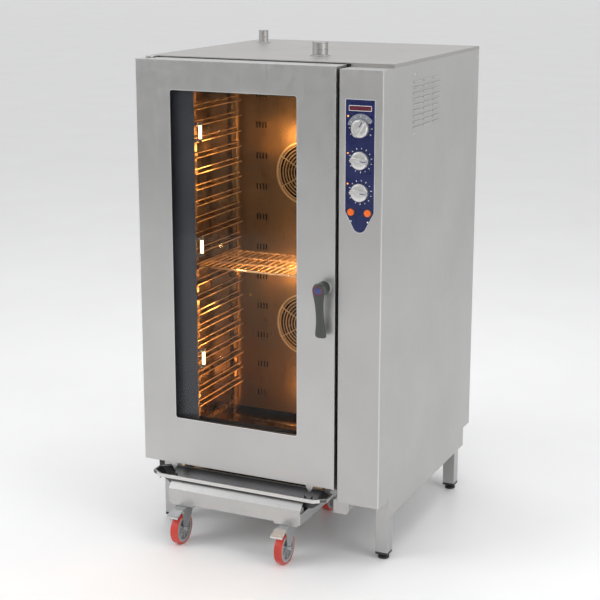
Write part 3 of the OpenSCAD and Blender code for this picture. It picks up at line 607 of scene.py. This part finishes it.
# black strip on the top cover's front, seen over the door: painted shade for the shadowed gap under the
# cover's lip
cover = limits("top_cover")
column = limits("control_column")
bm = bmesh.new()
add_box(bm, (2, cover[0].y - 0.8, cover[0].z - 6), (column[0].x - 1, cover[0].y + 0.4, cover[1].z - 3.5))
piece("top_painted_shade_band", bm, "cabinet", BLACK)

# black strips in the gap between door and column: one across the back of the gap, one on the column's left
# face
bm = bmesh.new()
add_box(bm, (830.5, 99, 300), (column[0].x - 0.3, 106.9, 1889))
add_box(bm, (column[0].x - 1.4, 8, 300), (column[0].x - 0.2, 100, 1889))
piece("door_gap_black_strips", bm, "cabinet", BLACK)

# rolled beads on the vent pipes
bm = bmesh.new()
for cx, cy, r in ((98, 900, 20), (606, 360, 30)):
    for z, grow in ((1953.2, 0.9), (1930, 0.6)):
        add_lathe(bm, [(r - 0.5, -2), (r + grow, -1.4), (r + grow + 0.7, 0), (r + grow, 1.4), (r - 0.5, 2)],
                  (cx, cy, z), "z", 40)
    add_lathe(bm, [(r - 0.5, 0), (r + 9, 0), (r + 9, 1.2), (r + 1.5, 2.4), (r - 0.5, 5)],
              (cx, cy, cover[1].z), "z", 40)
rings = piece("pipe_beads", bm, "cabinet", COVER, smooth=True)
for poly in rings.data.polygons:
    if len(poly.vertices) > 8:
        poly.use_smooth = False

# ---------------------------------------------------------------- door details

glass = limits("outer_glass")
wx0, wx1, wz0, wz1 = glass[0].x + 8, glass[1].x - 8, glass[0].z + 8, glass[1].z - 8
bm = bmesh.new()
add_ring(bm, rounded(wx0, wz0, wx1, wz1, 9), rounded(wx0 - 2.2, wz0 - 2.2, wx1 + 2.2, wz1 + 2.2, 11.2),
         -0.5, 3.5)
piece("window_bead", bm, "door", KNOB, bevel=0.3)
bm = bmesh.new()
add_ring(bm, rounded(wx0 + 1.5, wz0 + 1.5, wx1 - 1.5, wz1 - 1.5, 8),
         rounded(wx0 - 0.2, wz0 - 0.2, wx1 + 0.2, wz1 + 0.2, 9), 1.2, 3.9)
piece("window_seal_line", bm, "door", BLACK)

# the black printed border on the inner pane hides its fixing
inner = limits("inner_glass")
bm = bmesh.new()
add_ring(bm, rounded(wx0 + 4, inner[0].z + 16, wx1 - 4, wz1 - 4, 14),
         rounded(inner[0].x + 1, inner[0].z + 1, inner[1].x - 1, inner[1].z - 1, 6),
         inner[0].y - 0.6, inner[0].y - 0.1)
piece("inner_pane_border", bm, "door", BLACK)

# lamps: a bright tube in two dark end sockets, three to the door
lamp_low, lamp_high = limits("door_lamps")
lamp_x, lamp_y = lamp_high.x - 8, lamp_high.y - 10
tube_profile = [(0.5, -29), (4.5, -28), (6.2, -25), (6.2, 25), (4.5, 28), (0.5, 29)]
socket_profile = [(0.5, 26), (7.2, 26), (7.6, 28), (7.6, 37), (0.5, 37)]
tubes, sockets = bmesh.new(), bmesh.new()
for z in LAMP_HEIGHTS:
    add_lathe(tubes, [(r, z + h) for r, h in tube_profile], (lamp_x, lamp_y, 0), "z", 24)
    for s in (-1, 1):
        add_lathe(sockets, [(r, z + s * h) for r, h in socket_profile], (lamp_x, lamp_y, 0), "z", 24)
        clip_z = z + s * 33
        add_box(sockets, (lamp_low.x + 1, lamp_low.y + 0.5, clip_z - 4), (lamp_x, lamp_y + 3, clip_z + 4))
tube_piece = piece("lamp_tubes", tubes, "door", LAMP, smooth=True)
piece("lamp_sockets", sockets, "door", SHIELD)
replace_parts(tube_piece, "door_lamps")

# ---------------------------------------------------------------- handle

spindle = limits("latch_spindle")
hx, hz = HANDLE_X, (spindle[0].z + spindle[1].z) / 2


def lever(name):
    """Lever lofted from rounded sections down its length: z drop, half width, half depth, centre y."""
    sections = [
        (26.0, 5, 4, -51), (24.5, 13, 7.2, -51), (18, 20, 8.6, -51), (8, 24, 9, -51), (-10, 24.4, 9, -51),
        (-24, 21.5, 9, -49.8), (-45, 18, 8.6, -46.8), (-75, 15.8, 8, -42.5), (-105, 15.2, 7.6, -38.6),
        (-130, 16.6, 7.2, -35.8), (-150, 19.4, 7, -33.6), (-168, 22.4, 7, -31.6), (-180, 22.6, 6.6, -30),
        (-185, 18, 5, -29.2), (-187, 8, 2.6, -28.8),
    ]
    squareness = 0.7
    bm = bmesh.new()
    steps = 24
    rings = []
    for dz, half_w, half_d, y in sections:
        ring = []
        for i in range(steps):
            a = 2 * math.pi * i / steps
            c, s = math.cos(a), math.sin(a)
            ring.append(bm.verts.new(at(hx + half_w * math.copysign(abs(c) ** squareness, c),
                                        y + half_d * math.copysign(abs(s) ** squareness, s), hz + dz)))
        rings.append(ring)
    skin_loops(bm, rings)
    bm.faces.new(rings[0])
    bm.faces.new(rings[-1][::-1])
    obj = piece(name, bm, "handle", HANDLE, smooth=True)
    mod = obj.modifiers.new("smooth", "SUBSURF")
    mod.levels = mod.render_levels = 1
    return obj


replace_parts(lever("handle_lever"), "door_handle")
bm = bmesh.new()
boss_profile = [(18, -0.6), (24.2, -0.6), (24.8, -1.6), (24.8, -8), (23, -10), (22, -40), (23.2, -48),
                (23.2, -57), (22, -59), (18, -59.6), (17.6, -59.0), (2, -59.0)]
add_lathe(bm, boss_profile, (hx, 0, hz), "y", 56)
piece("handle_boss", bm, "handle", HANDLE, smooth=True)
bm = bmesh.new()
add_lathe(bm, [(14.6, -58.8), (17.4, -58.8), (17.4, -59.6), (14.6, -59.6)], (hx, 0, hz), "y", 48)
piece("handle_cap_ring", bm, "handle", DARK_RED)
bm = bmesh.new()
add_lathe(bm, [(0.3, -60.0), (9, -59.9), (14.4, -59.5), (14.6, -58.8)], (hx, 0, hz), "y", 48)
piece("handle_cap_disc", bm, "handle", NAVY, smooth=True)
bm = bmesh.new()
add_lathe(bm, [(24.6, -0.1), (28.5, -0.1), (28.5, -1.6), (27.5, -2.4), (24.9, -2.4)], (hx, 0, hz), "y", 56)
piece("handle_rosette", bm, "door", FRAME)

# bright steel strip on the column's folded front edge: a painted highlight where the edge catches the light
bm = bmesh.new()
add_prism(bm, [(1004.6, 252), (1010.3, 252), (1010.3, 1888), (1004.6, 1888)], -0.5, 3.2)
piece("column_edge_painted_highlight", bm, "cabinet", RIM_AND_HIGHLIGHT, bevel=1.6, segments=4)

# ---------------------------------------------------------------- chamber details

# rolled wire edges on each level's runners, in bright steel that paints a highlight on them
for side, node in ((1, "rack_side_left"), (-1, "rack_side_right")):
    box = limits(node)
    edge = box[1].x if side > 0 else box[0].x
    bm = bmesh.new()
    for level in range(LEVELS):
        z = FIRST_LEVEL + LEVEL_PITCH * level
        for inset, height in ((0, 0.6), (12, 16.8)):
            x = edge - side * inset
            outline = [(x - side * 1.6 + 2.2 * math.cos(a), z + height + 2.2 * math.sin(a))
                       for a in (math.pi / 4 * k for k in range(8))]
            add_prism(bm, outline, 127, 513)
    piece(node + "_wires", bm, "cabinet", WIRE_HIGHLIGHT)

baffle = limits("fan_baffle")
# bright orange strips down the baffle's side edges: a painted highlight
bm = bmesh.new()
for x0, x1 in ((baffle[0].x - 1, baffle[0].x + 4), (baffle[1].x - 4, baffle[1].x + 1)):
    add_box(bm, (x0, baffle[0].y - 10, baffle[0].z), (x1, baffle[0].y + 0.5, baffle[1].z))
piece("baffle_edges_painted_highlight", bm, "cabinet", EDGE_HIGHLIGHT, bevel=0.8)

# bosses at the fan guards' centres, in the guards' painted-highlight steel
bm = bmesh.new()
for node in ("fan_wheel_lower", "fan_wheel_upper"):
    z = limits(node)[0].z + FAN_WHEEL_RADIUS
    add_lathe(bm, [(0.5, -11), (10, -10.5), (14, -8.5), (15, -6.5), (15, -2)],
              (FAN_X, baffle[0].y, z), "y", 32)
piece("guard_bosses", bm, "cabinet", GUARD_HIGHLIGHT, smooth=True)

# bright rolled rim of the drip trough
trough = limits("drip_trough")


def trough_line(grow):
    """The trough's outline in X and Y, with its corners cut off, moved outwards by grow."""
    x0, x1, y0, y1 = trough[0].x - grow, trough[1].x + grow, trough[0].y - grow, trough[1].y + grow
    cx, cy = 46.2, 30.2
    return [(x0 + cx, y0), (x1 - cx, y0), (x1, y0 + cy), (x1, y1 - cy),
            (x1 - cx, y1), (x0 + cx, y1), (x0, y1 - cy), (x0, y0 + cy)]


bm = bmesh.new()
loops = []
for grow, rise in ((0.6, -13), (0.6, 0.3), (0.0, 0.9), (-4.4, 0.9), (-5.2, 0.3), (-5.2, -6), (0.0, -13)):
    loops.append([bm.verts.new(at(x, y, trough[1].z + rise)) for x, y in trough_line(grow)])
skin_loops(bm, loops, closed=True)
piece("trough_rim", bm, "cabinet", RIM_AND_HIGHLIGHT, bevel=0.4)

# black plates under the door's lower hinge: painted shade below the hinge
hinge = limits("hinge_brackets")
bm = bmesh.new()
add_prism(bm, [(4, 284.5), (44, 284.5), (44, hinge[0].z - 0.2), (4, hinge[0].z - 0.2)], 54, 106)
add_prism(bm, [(52, 288), (78, 288), (78, 297), (52, 297)], 60, 96)
piece("lower_hinge_painted_shade", bm, "cabinet", BLACK, bevel=1.0)

# ---------------------------------------------------------------- castor details


def axle_nuts(name, hub_node, body):
    """A hexagon nut at each end of a wheel's axle."""
    low, high = limits(hub_node)
    cx, cy, cz = ((a + b) / 2 for a, b in zip(low, high))
    r = 10.5
    angles = [math.radians(60 * i + 12) for i in range(6)]
    hexagon = [(cy + r * math.cos(a), cz + r * math.sin(a)) for a in angles]
    bm = bmesh.new()
    for s in (-1, 1):
        rings = []
        for x in (cx + s * 20.2, cx + s * 27.5):
            rings.append([bm.verts.new(at(x, y, z)) for y, z in hexagon])
        bm.faces.new(rings[0])
        bm.faces.new(rings[1][::-1])
        skin_loops(bm, rings)
    piece(name, bm, body, ZINC, bevel=0.8)


for side in ("left", "right"):
    axle_nuts(f"axle_nuts_{side}", f"hub_front_{side}", f"castor_{side}")
    low, high = limits(f"brake_pedal_{side}")
    bm = bmesh.new()
    for i in range(6):
        y = low.y + 5 + i * 4.6
        add_box(bm, (low.x + 4, y, 137.8), (high.x - 4, y + 2, 139.2))
    piece(f"pedal_ribs_{side}", bm, f"pedal_{side}", ZINC, bevel=0.4)

for side in ("left", "right"):
    axle_nuts(f"axle_nuts_rear_{side}", f"hub_rear_{side}", "cabinet")

# ---------------------------------------------------------------- stage, lights and camera


def stage_object(name, bm, material):
    mesh = bpy.data.meshes.new(name)
    bm.to_mesh(mesh)
    bm.free()
    obj = bpy.data.objects.new(name, mesh)
    bpy.context.scene.collection.objects.link(obj)
    obj.data.materials.append(material)
    return obj


def add_light(name, kind, place, power, color):
    light = bpy.data.lights.new(name, kind)
    light.energy = power
    light.color = color
    obj = bpy.data.objects.new(name, light)
    obj.location = place
    bpy.context.scene.collection.objects.link(obj)
    obj.visible_camera = False
    return obj


def area(name, place, target, size, power):
    obj = add_light(name, "AREA", place, power, (1, 1, 1))
    obj.data.shape = "RECTANGLE"
    obj.data.size, obj.data.size_y = size
    obj.rotation_euler = (Vector(target) - Vector(place)).to_track_quat("-Z", "Y").to_euler()


def warm(name, place, power, color, size):
    add_light(name, "POINT", place, power, color).data.shadow_soft_size = size


n = Nodes("stage_floor")
shader = n.add("BsdfPrincipled", Roughness=0.35)
tone = n.mix_color(n.remap(n.noise(1.2, detail=3), 0, 1), rgb(0.9, 0.9, 0.9), rgb(0.93, 0.93, 0.93))
n.link(tone, shader.inputs["Base Color"])
shader.inputs["Specular IOR Level"].default_value = 0.35
bm = bmesh.new()
bmesh.ops.create_grid(bm, x_segments=1, y_segments=1, size=180)
floor = stage_object("studio_floor", bm, n.finish(shader))
floor.location = (0, 0, cad_low[2] - 0.0005)
floor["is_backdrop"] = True

area("key_left", (-4.5, -4.5, 4.2), (0, 0, 0.9), (4, 4), 170)
area("fill_right", (5.5, -1.5, 3.0), (0.4, 0, 0.9), (3.5, 3.5), 110)
area("top_soft", (0, 0.5, 5.5), (0, 0, 0), (4, 4), 90)
area("front_low", (1.0, -6.0, 0.7), (0, 0, 0.8), (4, 1.4), 30)

ORANGE = (1.0, 0.45, 0.12)
AMBER_LIGHT = (1.0, 0.62, 0.26)
# place in drawing millimetres, and power before CHAMBER_POWER
CHAMBER_LIGHTS = (
    (640, 560, 1700, 5), (660, 600, 1180, 4), (650, 560, 560, 4), (600, 300, 470, 3),
    (400, 430, 430, 5), (560, 330, 450, 2), (470, 520, 1500, 3), (470, 520, 850, 3),
    (600, 250, 1780, 2), (240, 330, 1500, 1), (240, 330, 900, 1), (560, 480, 620, 2),
)
CHAMBER_POWER = 0.8
for i, z in enumerate(LAMP_HEIGHTS):
    warm(f"door_lamp_light_{i}", at(300, 90, z), 0.7, AMBER_LIGHT, 0.012)
for i, (x, y, z, power) in enumerate(CHAMBER_LIGHTS):
    warm(f"chamber_light_{i}", at(x, y, z), power * CHAMBER_POWER, ORANGE, 0.03)

# a grey card in front, out of the camera's sight, that the door's upper half mirrors
CARD_CORNERS = ((-5.5, -3.2, 0.35), (0.6, -5.2, 0.35), (0.6, -5.6, 3.4), (-5.5, -3.6, 3.4))
bm = bmesh.new()
bm.faces.new([bm.verts.new(corner) for corner in CARD_CORNERS])
n = Nodes("stage_card")
shader = n.add("BsdfPrincipled", Roughness=0.9)
tone = n.mix_color(n.noise(1.0, detail=2), rgb(0.2, 0.2, 0.2), rgb(0.24, 0.24, 0.24))
n.link(tone, shader.inputs["Base Color"])
card = stage_object("studio_card", bm, n.finish(shader))
card.visible_camera = False
card.visible_shadow = False
card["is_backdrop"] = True

# world light: white at the horizon, greyer overhead
world = bpy.data.worlds.new("studio")
bpy.context.scene.world = world
world.use_nodes = True
tree = world.node_tree
tree.nodes.clear()
out = tree.nodes.new("ShaderNodeOutputWorld")
back = tree.nodes.new("ShaderNodeBackground")
tex = tree.nodes.new("ShaderNodeTexCoord")
split = tree.nodes.new("ShaderNodeSeparateXYZ")
ramp = tree.nodes.new("ShaderNodeValToRGB")
stops = ramp.color_ramp.elements
stops[0].position, stops[0].color = 0.0, (1.0, 1.0, 1.0, 1)
stops[1].position, stops[1].color = 0.6, (0.62, 0.62, 0.63, 1)
stops.new(0.12).color = (0.97, 0.97, 0.97, 1)
tree.links.new(tex.outputs["Generated"], split.inputs[0])
tree.links.new(split.outputs[2], ramp.inputs[0])
tree.links.new(ramp.outputs[0], back.inputs[0])
tree.links.new(back.outputs[0], out.inputs[0])
back.inputs[1].default_value = 1.0
bpy.context.scene.view_settings.view_transform = "Standard"

# camera fitted to the object's corners: place in drawing millimetres, turn and tilt in degrees
CAMERA_PLACE = (2836.7, -4653.2, 2341.7)
CAMERA_YAW, CAMERA_PITCH = 24.801, 12.924
camera_data = bpy.data.cameras.new("camera")
camera = bpy.data.objects.new("camera", camera_data)
bpy.context.scene.collection.objects.link(camera)
bpy.context.scene.camera = camera
camera_data.sensor_width = 36
camera_data.lens = 85.18
camera_data.shift_y = -0.06
camera_data.clip_end = 600
camera.location = at(*CAMERA_PLACE)
yaw, pitch = math.radians(CAMERA_YAW), math.radians(CAMERA_PITCH)
camera.rotation_euler = (math.pi / 2 - pitch, 0, yaw)

low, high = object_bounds()
